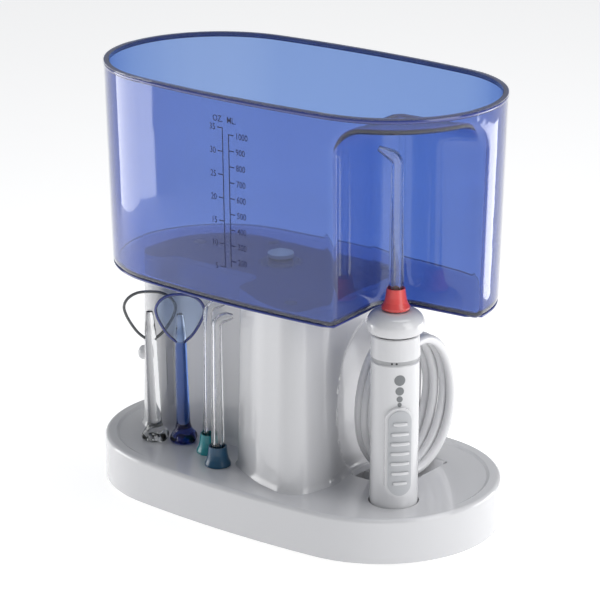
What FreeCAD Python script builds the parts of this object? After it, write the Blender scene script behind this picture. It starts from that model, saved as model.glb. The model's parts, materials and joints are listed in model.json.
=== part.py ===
import FreeCAD, Part
import math
import os
from FreeCAD import Vector as V

# Countertop water flosser. Millimetres, +Z up, origin at the centre of the footprint on the table.
# +X runs along the long side towards the hand piece, -Y is the front.

# ---- base
BASE_LENGTH = 208.0
BASE_WIDTH = 119.0
SIDE_BOW = 555.0            # radius of the gently bowed long sides
RIM_TOP = 23.4
DECK = 22.6                 # top face of the dished deck
DECK_SHEET = 2.4
RIM_BAND = 5.2
WALL = 2.4
FEET = 2.0                  # height of the rubber feet
COVER = 2.0                 # thickness of the bottom cover
FOOT_SPOTS = [(-78, -30), (78, -30), (-78, 30), (78, 30)]
SCREW_SPOTS = [(-86, 14), (-40, -49), (28, 50), (90, 2)]

# ---- tower
TOWER_TOP = 107.0
SEAT = 109.5                # underside of the tank
TOWER_CORNERS = [           # x, y, corner radius, counter-clockwise from the rear left
    (-85.0, 39.0, 37.0), (-85.0, -20.4, 10.5), (-69.0, -18.0, 4.6), (-65.0, -11.4, 4.6),
    (-13.0, -11.4, 6.0), (-13.0, -29.5, 6.0), (9.0, -40.5, 40.0), (32.0, -46.0, 9.0),
    (36.4, -24.0, 16.0), (34.0, -8.0, 12.0), (34.0, 39.0, 8.0)]
TOWER_DRAFT = 1.6           # how much wider the tower is at its foot, each side
FOOT_FLARE = 1.2
CAP_SHEET = 2.0
PORT = (-20.0, 12.0)        # inlet port that the tank valve plugs into
PORT_R = 11.0
PORT_FLOOR = 98.0

# ---- water tank
TANK_LENGTH = 205.0
TANK_WIDTH = 111.4
TANK_TOP = 208.0
TANK_SHIFT = 1.4            # the tank overhangs further on the hand piece's side
END_TAPER = 2.6             # how far each end leans in towards the bottom
SIDE_TAPER = 2.0            # the same for each long side
TANK_WALL = 2.4
TANK_FLOOR = 2.6
TANK_EDGE = 4.2
ALCOVE_TOP = 200.0
ALCOVE_CORNERS = [(60.1, -80.0, 0), (125.0, -80.0, 0), (125.0, 1.2, 0), (55.6, -5.0, 13.0)]
ALCOVE_FREE_CORNERS = [(58.2, -51.5), (101.5, 0.5)]
ALCOVE_ARCH = 12.0

# ---- hand piece
HAND = (70.6, -20.7)
HAND_FACING = -42.6         # plan angle that the slider faces, degrees
HAND_R = 11.0
HAND_FOOT = 14.5
SOCKET_R = 11.6
SLEEVE_BOTTOM = 93.0
SLEEVE_TOP = 103.0
COLLAR_R = 13.0
COLLAR_MID = 107.9
TIP_SEAT = 114.5
SLIDER_Z0, SLIDER_Z1 = 28.6, 71.8
VIEW_SIDE = 37.8            # plan angle of the stored tips' flat side, degrees

# ---- hose
HOSE_R = 2.2
COIL_Y, COIL_Z = 15.3, 54.0
COIL_X0, COIL_X1 = 37.4, 61.9
COIL_HALF_OUT = (28.5, 36.7)
COIL_HALF_IN = (21.4, 29.0)
TROUGH_CORNERS = [(37.2, 48.0, 6.0), (37.2, -7.5, 3.0), (62.8, -7.5, 5.0), (62.8, 48.0, 6.0)]
TROUGH_FLOOR = 15.0
HOSE_OUT = (39.8, 39.0)
LEAD_DOWN = (59.0, -3.6)
LEAD_ROUTE = [
    V(59.0, -3.6, 30.0), V(59.0, -3.6, 22.0), V(59.0, -3.6, 14.0), V(60.2, -5.1, 9.2),
    V(63.7, -10.8, 7.0), V(67.7, -16.8, 7.3), V(70.6, -20.7, 10.6), V(70.6, -20.7, 14.5)]

# ---- pump train
AXLE = (-22.0, 46.0)        # x, z of the crank gear's axis, which runs along Y
MOTOR = (-50.0, 46.0)
GEAR_TEETH = 44
PINION_TEETH = 12
GEAR_MODULE = 1.0
GEAR_Y0, GEAR_Y1 = 2.0, 7.0
CRANK = 5.0
ROD_Y0, ROD_Y1 = 8.4, 11.4
BORE_R = 6.0
PISTON_R = 5.95
PUMP_Y = 0.5 * (ROD_Y0 + ROD_Y1)
HEAD_X = 27.2
FRAME_Y0, FRAME_Y1 = -7.8, -5.6     # faces of the gear frame's plate

# ---- stored tips: x, y of each
CLEANER_CLEAR = (-64.0, -30.4)
CLEANER_BLUE = (-51.8, -23.8)
JET_TEAL = (-32.8, -27.3)
JET_NAVY = (-19.4, -37.4)
STUB_R = 2.5
STUB_DEPTH = 7.6

# ---- power button
BUTTON_ANGLE = 197.0
BUTTON_CENTRE = (-73.0, -9.0)
BUTTON_Z = 57.4


def save(name, shape):
    shape.exportStep("parts/" + name + ".step")


def cylinder(x, y, z, radius, height, axis=V(0, 0, 1)):
    return Part.makeCylinder(radius, height, V(x, y, z), axis)


def cone(x, y, z, r_low, r_high, height):
    return Part.makeCone(r_low, r_high, height, V(x, y, z), V(0, 0, 1))


def box(x0, x1, y0, y1, z0, z1):
    return Part.makeBox(x1 - x0, y1 - y0, z1 - z0, V(x0, y0, z0))


def turned(points, x=0.0, y=0.0):
    """Solid of revolution about the vertical through x, y from (radius, z) points."""
    wire = Part.makePolygon([V(r, 0, z) for r, z in points + points[:1]])
    solid = Part.Face(wire).revolve(V(0, 0, 0), V(0, 0, 1), 360)
    solid.translate(V(x, y, 0))
    return solid


def bowed_loop(inset, z, length=BASE_LENGTH, width=BASE_WIDTH):
    """Long oval: two gently bowed sides joined by round ends, all tangent."""
    half_l = length / 2 - inset
    half_w = width / 2 - inset
    bow = SIDE_BOW - inset
    a = bow - half_w
    b = bow - half_l
    cx = (a * a - b * b) / (2 * b)
    end_r = half_l - cx
    tx = cx + end_r * cx / (b + cx)
    ty = end_r * a / (b + cx)
    return Part.Wire([
        Part.Arc(V(tx, ty, z), V(0, half_w, z), V(-tx, ty, z)).toShape(),
        Part.Arc(V(-tx, ty, z), V(-half_l, 0, z), V(-tx, -ty, z)).toShape(),
        Part.Arc(V(-tx, -ty, z), V(0, -half_w, z), V(tx, -ty, z)).toShape(),
        Part.Arc(V(tx, -ty, z), V(half_l, 0, z), V(tx, ty, z)).toShape()])


def grown(corners, grow):
    """Offset a counter-clockwise outline outwards, keeping its corner arcs concentric."""
    count = len(corners)
    result = []
    for i in range(count):
        before = V(*corners[i - 1][:2], 0)
        here = V(*corners[i][:2], 0)
        after = V(*corners[(i + 1) % count][:2], 0)
        d_in = (here - before).normalize()
        d_out = (after - here).normalize()
        n_in = V(d_in.y, -d_in.x, 0)
        n_out = V(d_out.y, -d_out.x, 0)
        bisector = (n_in + n_out) * (grow / (1 + n_in.dot(n_out)))
        turn = d_in.cross(d_out).z
        radius = corners[i][2]
        if radius:
            radius += grow if turn > 0 else -grow
        point = here + bisector
        result.append((point.x, point.y, radius))
    return result


def rounded_loop(corners, z, grow=0.0):
    """Closed wire of straight sides and corner arcs from (x, y, radius) corners."""
    corners = grown(corners, grow) if grow else corners
    count = len(corners)
    cuts = []
    for i in range(count):
        before = V(*corners[i - 1][:2], z)
        here = V(*corners[i][:2], z)
        after = V(*corners[(i + 1) % count][:2], z)
        to_before = (before - here).normalize()
        to_after = (after - here).normalize()
        radius = corners[i][2]
        half = math.acos(max(-1.0, min(1.0, to_before.dot(to_after)))) / 2
        reach = radius / math.tan(half)
        middle = (to_before + to_after).normalize()
        apex = here + middle * (radius / math.sin(half) - radius)
        cuts.append((here + to_before * reach, apex, here + to_after * reach, radius))
    edges = []
    for i in range(count):
        start, apex, end, radius = cuts[i]
        if radius:
            edges.append(Part.Arc(start, apex, end).toShape())
        edges.append(Part.LineSegment(end, cuts[(i + 1) % count][0]).toShape())
    return Part.Wire(edges)


def prism(wire, height):
    return Part.Face(wire).extrude(V(0, 0, height))


def between(low, high):
    return Part.makeLoft([low, high], True, True)


def fused(*shapes):
    return shapes[0].fuse(list(shapes[1:])).removeSplitter()


def at_hand(shape):
    """Move a shape built facing +X at the origin to the hand piece, facing its slider side."""
    shape.rotate(V(0, 0, 0), V(0, 0, 1), HAND_FACING)
    shape.translate(V(*HAND, 0))
    return shape


def flat_oval(x0, x1, width, z0, z1):
    """Upright stadium in the YZ plane, extruded along X."""
    r = width / 2
    return fused(
        box(x0, x1, -r, r, z0 + r, z1 - r),
        cylinder(x0, 0, z0 + r, r, x1 - x0, V(1, 0, 0)),
        cylinder(x0, 0, z1 - r, r, x1 - x0, V(1, 0, 0)))


def route_wire(points):
    """Straight runs joined by tangent arcs as large as the runs allow."""
    edges = []
    radii = []
    last = points[0]
    for i in range(1, len(points) - 1):
        back = points[i - 1] - points[i]
        ahead = points[i + 1] - points[i]
        half = (math.pi - back.getAngle(ahead)) / 2
        short = min(back.Length, ahead.Length)
        back.normalize()
        ahead.normalize()
        if half < 1e-4:
            continue
        radius = 0.45 * short / math.tan(half)
        reach = 0.45 * short
        start = points[i] + back * reach
        end = points[i] + ahead * reach
        centre_way = (back + ahead).normalize()
        apex = points[i] + centre_way * (radius / math.cos(half) - radius)
        edges.append(Part.LineSegment(last, start).toShape())
        edges.append(Part.Arc(start, apex, end).toShape())
        radii.append(round(radius, 1))
        last = end
    edges.append(Part.LineSegment(last, points[-1]).toShape())
    return Part.Wire(edges), radii


def tube(points, radius, label, bore=0.0):
    """Round tube along a route; prints its bend radii and checks its volume."""
    wire, radii = route_wire(points)
    ahead = (points[1] - points[0]).normalize()
    ring = Part.Wire([Part.Circle(points[0], ahead, radius).toShape()])
    solid = wire.makePipeShell([ring], True, False)
    expected = math.pi * radius ** 2 * wire.Length
    print(label, "radii", radii, "length", round(wire.Length, 1),
          "volume ratio", round(solid.Volume / expected, 4))
    if bore:
        inner = Part.Wire([Part.Circle(points[0], ahead, bore).toShape()])
        solid = solid.cut(wire.makePipeShell([inner], True, False))
    return solid


# ---------------------------------------------------------------- base

def base_housing():
    body = prism(bowed_loop(0, FEET), RIM_TOP - FEET)
    top_edges = [e for e in body.Edges if e.BoundBox.ZMin > RIM_TOP - 0.01]
    body = body.makeFillet(2.0, top_edges)
    body = body.cut(prism(bowed_loop(WALL, FEET), DECK - DECK_SHEET - FEET))
    dish = between(bowed_loop(RIM_BAND + 1.6, DECK), bowed_loop(RIM_BAND, RIM_TOP + 0.1))
    body = body.cut(dish)
    under = DECK - DECK_SHEET + 0.2
    tubs = [
        prism(rounded_loop(TROUGH_CORNERS, TROUGH_FLOOR - 2, 2.0), under - TROUGH_FLOOR + 2),
        cylinder(*HAND, HAND_FOOT - 2, SOCKET_R + 2, under - HAND_FOOT + 2)]
    for spot in (CLEANER_CLEAR, CLEANER_BLUE, JET_TEAL, JET_NAVY):
        tubs.append(cylinder(*spot, DECK - STUB_DEPTH - 2.0, STUB_R + 2.2, STUB_DEPTH))
    for spot in SCREW_SPOTS:
        tubs.append(cylinder(*spot, FEET + COVER, 3.6, under - FEET - COVER))
    body = body.fuse(tubs)
    holes = [
        prism(rounded_loop(TROUGH_CORNERS, TROUGH_FLOOR), 20),
        between(rounded_loop(TROUGH_CORNERS, DECK - 1.8), rounded_loop(TROUGH_CORNERS, DECK + 0.2, 1.8)),
        cylinder(*HAND, HAND_FOOT, SOCKET_R, 20),
        cylinder(*HAND, HAND_FOOT - 3, 3.4, 5),
        cylinder(*HOSE_OUT, TROUGH_FLOOR - 3, 3.0, 5),
        cylinder(*LEAD_DOWN, TROUGH_FLOOR - 3, 3.4, 5),
        cylinder(HEAD_X, PUMP_Y, 15, 4.0, 10),
        cylinder(-62, 22, 15, 4.0, 10),
        cylinder(-30, 40, 11, 5.1, 20, V(0, 1, 0))]
    for spot in (CLEANER_CLEAR, CLEANER_BLUE, JET_TEAL, JET_NAVY):
        holes.append(cylinder(*spot, DECK - STUB_DEPTH - 0.4, STUB_R + 0.2, 12))
    for spot in SCREW_SPOTS:
        holes.append(cylinder(*spot, FEET + COVER - 1, 1.6, 12))
    return body.cut(holes)


def bottom_cover():
    plate = prism(bowed_loop(WALL + 0.25, FEET), COVER)
    cuts = [cylinder(*spot, 1, 2.1, 5) for spot in FOOT_SPOTS]
    for spot in SCREW_SPOTS:
        cuts += [cylinder(*spot, 1, 1.6, 5), cylinder(*spot, FEET, 3.2, 1.1)]
    for i in range(6):
        cuts.append(box(-58 + 6 * i, -55 + 6 * i, -14, 14, 1, 5))
    return plate.cut(cuts)


def rubber_feet():
    feet = []
    for x, y in FOOT_SPOTS:
        pad = turned([(0, 0), (5.4, 0), (6, 0.6), (6, FEET), (0, FEET)], x, y)
        feet.append(pad.fuse(cylinder(x, y, FEET, 2.0, COVER)).removeSplitter())
    return Part.makeCompound(feet)


def cover_screws():
    screws = []
    for x, y in SCREW_SPOTS:
        head = cylinder(x, y, FEET, 2.9, 1.0)
        slot = box(x - 2, x + 2, y - 0.3, y + 0.3, FEET - 1, FEET + 0.5)
        screws.append(fused(head, cylinder(x, y, FEET, 1.4, 12)).cut(slot))
    return Part.makeCompound(screws)


def cord_gland():
    body = cylinder(-30, 46.8, 11, 5.0, 11.4, V(0, 1, 0))
    flange = cylinder(-30, 53.0, 11, 7.0, 2.0, V(0, 1, 0))
    return fused(body, flange).cut(cylinder(-30, 40, 11, 3.2, 25, V(0, 1, 0)))


# ---------------------------------------------------------------- tower

def tower_skin(shrink, z0, z1):
    """Drafted tower body, drawn in from the outer face by shrink."""
    rise = (z1 - DECK) / (TOWER_TOP - DECK)
    fall = (z0 - DECK) / (TOWER_TOP - DECK)
    low = rounded_loop(TOWER_CORNERS, z0, TOWER_DRAFT * (1 - fall) - shrink)
    high = rounded_loop(TOWER_CORNERS, z1, TOWER_DRAFT * (1 - rise) - shrink)
    return between(low, high)


def tower_shell():
    outer = tower_skin(0.0, DECK, TOWER_TOP)
    foot = between(rounded_loop(TOWER_CORNERS, DECK, TOWER_DRAFT + FOOT_FLARE),
                   rounded_loop(TOWER_CORNERS, DECK + 2.5, TOWER_DRAFT + 0.1))
    shell = outer.fuse(foot).cut(tower_skin(WALL, DECK, TOWER_TOP))
    return shell.cut(along_button(cylinder(0, 0, 0, 3.7, 14, V(1, 0, 0)), 5.0))


def tower_cap():
    lid = prism(rounded_loop(TOWER_CORNERS, TOWER_TOP, -0.1), CAP_SHEET)
    plug = prism(rounded_loop(TOWER_CORNERS, TOWER_TOP - 3, -WALL - 0.25), 3)
    plug = plug.cut(prism(rounded_loop(TOWER_CORNERS, TOWER_TOP - 3, -WALL - 2.0), 3))
    cup = cylinder(*PORT, PORT_FLOOR - 2, PORT_R + 2, TOWER_TOP - PORT_FLOOR + 2)
    spout = cylinder(*PORT, PORT_FLOOR - 12, 3.0, 11)
    pads = [cylinder(x, y, TOWER_TOP + CAP_SHEET, 3.0, SEAT - TOWER_TOP - CAP_SHEET)
            for x, y in ((-70, 12), (-40, 32), (24, 32), (22, -34))]
    cap = fused(lid, plug, cup, spout, *pads)
    cap = cap.cut([cylinder(*PORT, PORT_FLOOR, PORT_R, 20), cylinder(*PORT, PORT_FLOOR - 13, 1.8, 14)])
    post = cylinder(*PORT, PORT_FLOOR, 1.2, 2.5).fuse(
        box(PORT[0] - 4, PORT[0] + 4, PORT[1] - 0.7, PORT[1] + 0.7, PORT_FLOOR - 0.5, PORT_FLOOR + 0.8))
    return cap.fuse(post).removeSplitter()


def port_seal():
    return Part.makeTorus(PORT_R - 0.8, 0.75, V(*PORT, PORT_FLOOR + 1.2), V(0, 0, 1))


def along_button(shape, start):
    """Place a shape built along +X from the origin on the power button's axis."""
    angle = math.radians(BUTTON_ANGLE)
    shape.rotate(V(0, 0, 0), V(0, 0, 1), BUTTON_ANGLE)
    shape.translate(V(BUTTON_CENTRE[0] + start * math.cos(angle),
                      BUTTON_CENTRE[1] + start * math.sin(angle), BUTTON_Z))
    return shape


def lying(points):
    """Solid of revolution about +X from (radius, x) points."""
    solid = turned(points)
    solid.rotate(V(0, 0, 0), V(0, 1, 0), 90)
    return solid


def power_button():
    profile = [(0, 0), (4.6, 0), (4.6, 1.2), (3.5, 1.2), (3.5, 7.6), (3.2, 8.5), (2.3, 9.3), (1.2, 9.7), (0, 9.8)]
    return along_button(lying(profile), 6.2)


def switch_body():
    block = box(-9.0, -1.6, -4.6, 4.6, -7, 7)
    plunger = cylinder(-1.6, 0, 0, 1.6, 1.2, V(1, 0, 0))
    ears = box(-4.0, -2.5, -6.0, 6.0, -9, 9)
    return along_button(fused(block, plunger, ears), 5.4)


def rectifier_board():
    board = box(-72, -44, 25.0, 26.4, 70, 96)
    parts = [cylinder(-58, 21.0, 83, 5.0, 4.0, V(0, 1, 0)), box(-69, -64, 22, 25, 74, 80)]
    parts += [cylinder(-50, 22.6, 74 + 5 * i, 1.2, 2.4, V(0, 1, 0)) for i in range(4)]
    return fused(board, *parts)


# ---------------------------------------------------------------- pump train

def plate_screw(x, y0, z, reach):
    """Pan-head screw with its head face at y0, shank running +Y for reach."""
    head = cylinder(x, y0 - 1.4, z, 2.4, 1.4, V(0, 1, 0))
    slot = box(x - 1.7, x + 1.7, y0 - 2, y0 - 0.9, z - 0.3, z + 0.3)
    return fused(head, cylinder(x, y0, z, 1.3, reach, V(0, 1, 0))).cut(slot)


def gear_frame():
    """Front plate that carries the axle, the pump and the posts to the motor plate."""
    plate = box(-64, 24, FRAME_Y0, FRAME_Y1, DECK, 72)
    foot = box(-64, 24, FRAME_Y1, FRAME_Y1 + 5, DECK, DECK + 2)
    window = box(-60, -50, FRAME_Y0 - 1, FRAME_Y1 + 1, 56, 68)
    holes = [cylinder(AXLE[0], -10, AXLE[1], 2.0, 10, V(0, 1, 0))]
    holes += [cylinder(x, -10, z, 1.4, 10, V(0, 1, 0)) for x, z in ((10, 40), (10, 52))]
    return fused(plate, foot).cut([window] + holes)


def motor_plate():
    plate = box(-66, -32.5, 8.6, 10.6, DECK, 68)
    holes = [cylinder(MOTOR[0], 8, MOTOR[1], 4.2, 4, V(0, 1, 0))]
    holes += [cylinder(MOTOR[0] + dx, 8, MOTOR[1], 1.4, 4, V(0, 1, 0)) for dx in (-10, 10)]
    posts = [box(-66, -60, FRAME_Y1 + 5.0, 8.6, DECK, DECK + 3)]
    return fused(plate, *posts).cut(holes)


def frame_screws():
    screws = [plate_screw(10, FRAME_Y0, z, 8) for z in (40, 52)]
    screws += [plate_screw(MOTOR[0] + dx, 8.6, MOTOR[1], 3.8) for dx in (-10, 10)]
    return Part.makeCompound(screws)


def gear_axle():
    return cylinder(AXLE[0], FRAME_Y0, AXLE[1], 2.0, GEAR_Y1 - 0.4 - FRAME_Y0, V(0, 1, 0))


def toothed(teeth, phase, y0, y1):
    """Spur wheel about Y at the origin; straight-flanked teeth with running backlash."""
    pitch_r = GEAR_MODULE * teeth / 2
    root_r = pitch_r - 1.25 * GEAR_MODULE
    tip_r = pitch_r + 0.9 * GEAR_MODULE
    spacing = 2 * math.pi / teeth
    half_root = 0.27 * spacing
    half_tip = 0.12 * spacing
    points = []
    for i in range(teeth):
        mid = phase + i * spacing
        for radius, angle in ((root_r, mid - half_root), (tip_r, mid - half_tip),
                              (tip_r, mid + half_tip), (root_r, mid + half_root)):
            points.append(V(radius * math.cos(angle), y0, radius * math.sin(angle)))
    return Part.Face(Part.makePolygon(points + points[:1])).extrude(V(0, y1 - y0, 0))


def crank_gear():
    wheel = toothed(GEAR_TEETH, math.pi / GEAR_TEETH, GEAR_Y0, GEAR_Y1)
    hub = cylinder(0, -2.5, 0, 4.5, GEAR_Y0 + 2.5, V(0, 1, 0))
    pin = cylinder(CRANK, GEAR_Y1, 0, 1.5, 1.0, V(0, 1, 0))
    lightening = [cylinder(13.5 * math.cos(a), GEAR_Y0 - 1, 13.5 * math.sin(a), 3.6, 8, V(0, 1, 0))
                  for a in [math.radians(30 + 60 * i) for i in range(6)]]
    gear = fused(wheel, hub, pin).cut(lightening + [cylinder(0, -3, 0, 2.05, GEAR_Y1 + 2.7, V(0, 1, 0))])
    gear.translate(V(AXLE[0], 0, AXLE[1]))
    return gear


def motor_pinion():
    pinion = toothed(PINION_TEETH, 0.0, GEAR_Y0 - 0.5, GEAR_Y1 + 0.5)
    pinion = pinion.cut(cylinder(0, 0, 0, 1.5, 10, V(0, 1, 0)))
    pinion.translate(V(MOTOR[0], 0, MOTOR[1]))
    return pinion


def motor_shaft():
    shaft = cylinder(MOTOR[0], GEAR_Y0 - 0.5, MOTOR[1], 1.5, 30.6, V(0, 1, 0))
    poles = [box(-8.2, 8.2, 15.0, 28.0, -2.2, 2.2) for _ in range(3)]
    stack = cylinder(0, 15.0, 0, 4.0, 13.0, V(0, 1, 0))
    for i, pole in enumerate(poles):
        pole.rotate(V(0, 0, 0), V(0, 1, 0), 60 * i)
        stack = stack.fuse(pole)
    stack = stack.common(cylinder(0, 15.0, 0, 8.4, 13.0, V(0, 1, 0)))
    stack.translate(V(MOTOR[0], 0, MOTOR[1]))
    return shaft.fuse(stack).removeSplitter()


def motor_can():
    outer = cylinder(MOTOR[0], 10.6, MOTOR[1], 13.0, 21.8, V(0, 1, 0))
    inner = cylinder(MOTOR[0], 12.4, MOTOR[1], 12.0, 18.8, V(0, 1, 0))
    ends = cylinder(MOTOR[0], 10, MOTOR[1], 3.5, 30, V(0, 1, 0))
    taps = [cylinder(MOTOR[0] + dx, 10, MOTOR[1], 1.3, 2.5, V(0, 1, 0)) for dx in (-10, 10)]
    return outer.cut([inner, ends] + taps)


def motor_bearings():
    rings = []
    for y, length in ((10.6, 3.4), (29.6, 2.8)):
        ring = cylinder(MOTOR[0], y, MOTOR[1], 3.5, length, V(0, 1, 0))
        rings.append(ring.cut(cylinder(MOTOR[0], y - 1, MOTOR[1], 1.55, length + 2, V(0, 1, 0))))
    return Part.makeCompound(rings)


def motor_magnets():
    ring = cylinder(0, 14.6, 0, 12.0, 14.0, V(0, 1, 0)).cut(cylinder(0, 14, 0, 9.0, 20, V(0, 1, 0)))
    halves = []
    for side in (-1, 1):
        half = ring.common(box(-10, 10, 14, 33, min(side * 3, side * 13), max(side * 3, side * 13)))
        half.translate(V(MOTOR[0], 0, MOTOR[1]))
        halves.append(half)
    return Part.makeCompound(halves)


def pump_body():
    barrel = cylinder(3.5, PUMP_Y, AXLE[1], 9.0, HEAD_X - 3.2 - 3.5, V(1, 0, 0))
    leg = box(5, 21, FRAME_Y1, PUMP_Y - 4, AXLE[1] - 9.5, AXLE[1] + 9.5)
    holes = [cylinder(10, FRAME_Y1 - 1, z, 1.3, 7.5, V(0, 1, 0)) for z in (40, 52)]
    return fused(barrel, leg).cut([cylinder(0, PUMP_Y, AXLE[1], BORE_R, 23.0, V(1, 0, 0))] + holes)


def pump_head():
    block = cylinder(HEAD_X - 3.2, PUMP_Y, AXLE[1], 9.6, 6.2, V(1, 0, 0))
    barbs = [cylinder(HEAD_X, PUMP_Y, AXLE[1] + 8, 2.2, 9), cylinder(HEAD_X, PUMP_Y, AXLE[1] - 17, 2.2, 9)]
    ways = [cylinder(HEAD_X, PUMP_Y, AXLE[1] - 18, 1.2, 36),
            cylinder(HEAD_X, PUMP_Y, AXLE[1] + 3, 2.2, 3.0), cylinder(HEAD_X, PUMP_Y, AXLE[1] - 6, 2.2, 3.0),
            cylinder(HEAD_X - 4.2, PUMP_Y, AXLE[1], 1.6, 4.5, V(1, 0, 0))]
    return fused(block, *barbs).cut(ways)


def check_valve(z):
    return cylinder(HEAD_X, PUMP_Y, z, 1.9, 1.2)


def inlet_tube():
    top = PORT_FLOOR - 11.0
    start = V(*PORT, top)
    end = V(HEAD_X, PUMP_Y, AXLE[1] + 12)
    points = [start, V(PORT[0] + 0.6, PORT[1], top - 7), V(PORT[0] + 9, PORT[1] - 0.4, top - 13),
              V(-2, 11.4, top - 12.4), V(10, 10.6, top - 11.0), V(20, 10.2, top - 11.4),
              V(25.8, PUMP_Y + 0.1, top - 16), V(HEAD_X, PUMP_Y, top - 23), end]
    return tube(points, 3.0 + 0.9, "inlet tube", 0.0).cut(
        [cylinder(*PORT, top - 3, 3.0, 20), cylinder(HEAD_X, PUMP_Y, AXLE[1] + 10, 2.2, 7)])


def outlet_tube():
    low = 9.6
    points = [V(HEAD_X, PUMP_Y, AXLE[1] - 12), V(HEAD_X, PUMP_Y, 24.0), V(HEAD_X + 0.3, PUMP_Y + 0.7, 15.5),
              V(HEAD_X + 2.6, PUMP_Y + 6.6, low), V(32.6, 21.6, low - 0.8), V(36.2, 30.4, low - 1.2),
              V(HOSE_OUT[0] - 0.6, HOSE_OUT[1] - 1.6, low - 1.0), V(*HOSE_OUT, 12.0)]
    solid = tube(points, 2.9, "outlet tube")
    return solid.cut(cylinder(HEAD_X, PUMP_Y, AXLE[1] - 18, 2.2, 10))


def outlet_fitting():
    body = cylinder(*HOSE_OUT, 12.4, 2.4, 5.0)
    return fused(body, cone(*HOSE_OUT, 17.4, 2.4, 2.0, 1.6)).cut(cylinder(*HOSE_OUT, 12, 1.2, 8))


def piston():
    rod = box(AXLE[0] + CRANK, 14, ROD_Y0, ROD_Y1, AXLE[1] - 2, AXLE[1] + 2)
    eye = cylinder(AXLE[0] + CRANK, ROD_Y0, AXLE[1], 4.2, ROD_Y1 - ROD_Y0, V(0, 1, 0))
    plunger = cylinder(12.5, PUMP_Y, AXLE[1], PISTON_R, 9.0, V(1, 0, 0))
    groove = cylinder(17.5, PUMP_Y, AXLE[1], 7.0, 1.8, V(1, 0, 0)).cut(
        cylinder(17.5, PUMP_Y, AXLE[1], 4.6, 1.8, V(1, 0, 0)))
    hole = cylinder(AXLE[0] + CRANK, 0, AXLE[1], 1.6, 20, V(0, 1, 0))
    return fused(rod, eye, plunger).cut([groove, hole])


def piston_seal():
    ring = cylinder(17.5, PUMP_Y, AXLE[1], PISTON_R, 1.8, V(1, 0, 0))
    return ring.cut(cylinder(17, PUMP_Y, AXLE[1], 4.6, 3, V(1, 0, 0)))


# ---------------------------------------------------------------- hose

def oval_x(half, x0, x1):
    """Upright ellipse about the coil's centre, extruded along X."""
    ellipse = Part.Ellipse(V(0, 0, 0), half[1], half[0]).toShape()
    face = Part.Face(Part.Wire([ellipse]))
    solid = face.extrude(V(0, 0, x1 - x0))
    solid.rotate(V(0, 0, 0), V(0, 1, 0), 90)
    solid.translate(V(x0, COIL_Y, COIL_Z))
    return solid


def hose_coil():
    return oval_x(COIL_HALF_OUT, COIL_X0, COIL_X1).cut(oval_x(COIL_HALF_IN, COIL_X0 - 1, COIL_X1 + 1))


def hose_root():
    return cylinder(*HOSE_OUT, 19.0, HOSE_R, 21.0)


def hose_lead():
    return tube(LEAD_ROUTE, HOSE_R, "hose lead")


# ---------------------------------------------------------------- tank

def tank_loop(inset, z):
    depth = (TANK_TOP - z) / (TANK_TOP - SEAT)
    loop = bowed_loop(inset, z, TANK_LENGTH - 2 * END_TAPER * depth, TANK_WIDTH - 2 * SIDE_TAPER * depth)
    loop.translate(V(TANK_SHIFT, 0, 0))
    return loop


def alcove(grow, top):
    """Corner alcove that the hand piece and its jet tip stand in, arched at the top."""
    solid = prism(rounded_loop(ALCOVE_CORNERS, SEAT - 20, grow), top - SEAT + 20)
    arch = [e for e in solid.Edges
            if e.BoundBox.ZMin > top - 0.01 and e.BoundBox.YMax > -78 and e.BoundBox.XMin < 123]
    return solid.makeFillet(ALCOVE_ARCH + grow, arch)


def upright_edges(solid, spots, tolerance=4.0):
    """Long steep edges whose middle lies near one of the plan spots."""
    found = []
    for edge in solid.Edges:
        bb = edge.BoundBox
        middle = V(0.5 * (bb.XMin + bb.XMax), 0.5 * (bb.YMin + bb.YMax), 0)
        if bb.ZLength > 50 and any((middle - V(x, y, 0)).Length < tolerance for x, y in spots):
            found.append(edge)
    return found


def tank_block(inset, z0, z1, alcove_grow, alcove_top, round_r):
    """Tapered tank body less its alcove, with the alcove's free corners and the bottom edge rounded."""
    block = between(tank_loop(inset, z0), tank_loop(inset, z1))
    block = block.cut(alcove(alcove_grow, alcove_top))
    bottom = [e for e in block.Edges if e.BoundBox.ZMax < z0 + 0.01]
    return block.makeFillet(round_r, upright_edges(block, ALCOVE_FREE_CORNERS, 7.0) + bottom)


def tank():
    outer = tank_block(0.0, SEAT, TANK_TOP, 0.0, ALCOVE_TOP, TANK_EDGE)
    inner = tank_block(TANK_WALL, SEAT + TANK_FLOOR, TANK_TOP + 0.001, TANK_WALL,
                       ALCOVE_TOP + TANK_WALL, TANK_EDGE - TANK_WALL)
    boss = cylinder(*PORT, SEAT - 7.0, PORT_R - 1.6, 8.0)
    seat = cylinder(*PORT, SEAT - 7.5, 6.6, 10.6)
    return outer.cut(inner).fuse(boss).cut([seat]).fuse(
        cylinder(*PORT, SEAT + 0.4, PORT_R - 1.6, 2.2).cut(cylinder(*PORT, SEAT - 1, 4.0, 6))).removeSplitter()


def tank_valve():
    """Poppet that closes the tank's outlet; its stem meets the port's post when seated."""
    disc = cylinder(*PORT, SEAT + 4.0, 6.2, 1.6)
    stem = cylinder(*PORT, PORT_FLOOR + 2.9, 1.1, SEAT + 4.0 - PORT_FLOOR - 2.9)
    return fused(disc, stem, cone(*PORT, SEAT + 5.6, 5.0, 2.0, 1.6))


def valve_seal():
    ring = cylinder(*PORT, SEAT + 2.7, 5.8, 1.3)
    return ring.cut(cylinder(*PORT, SEAT, 1.1, 8))


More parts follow.
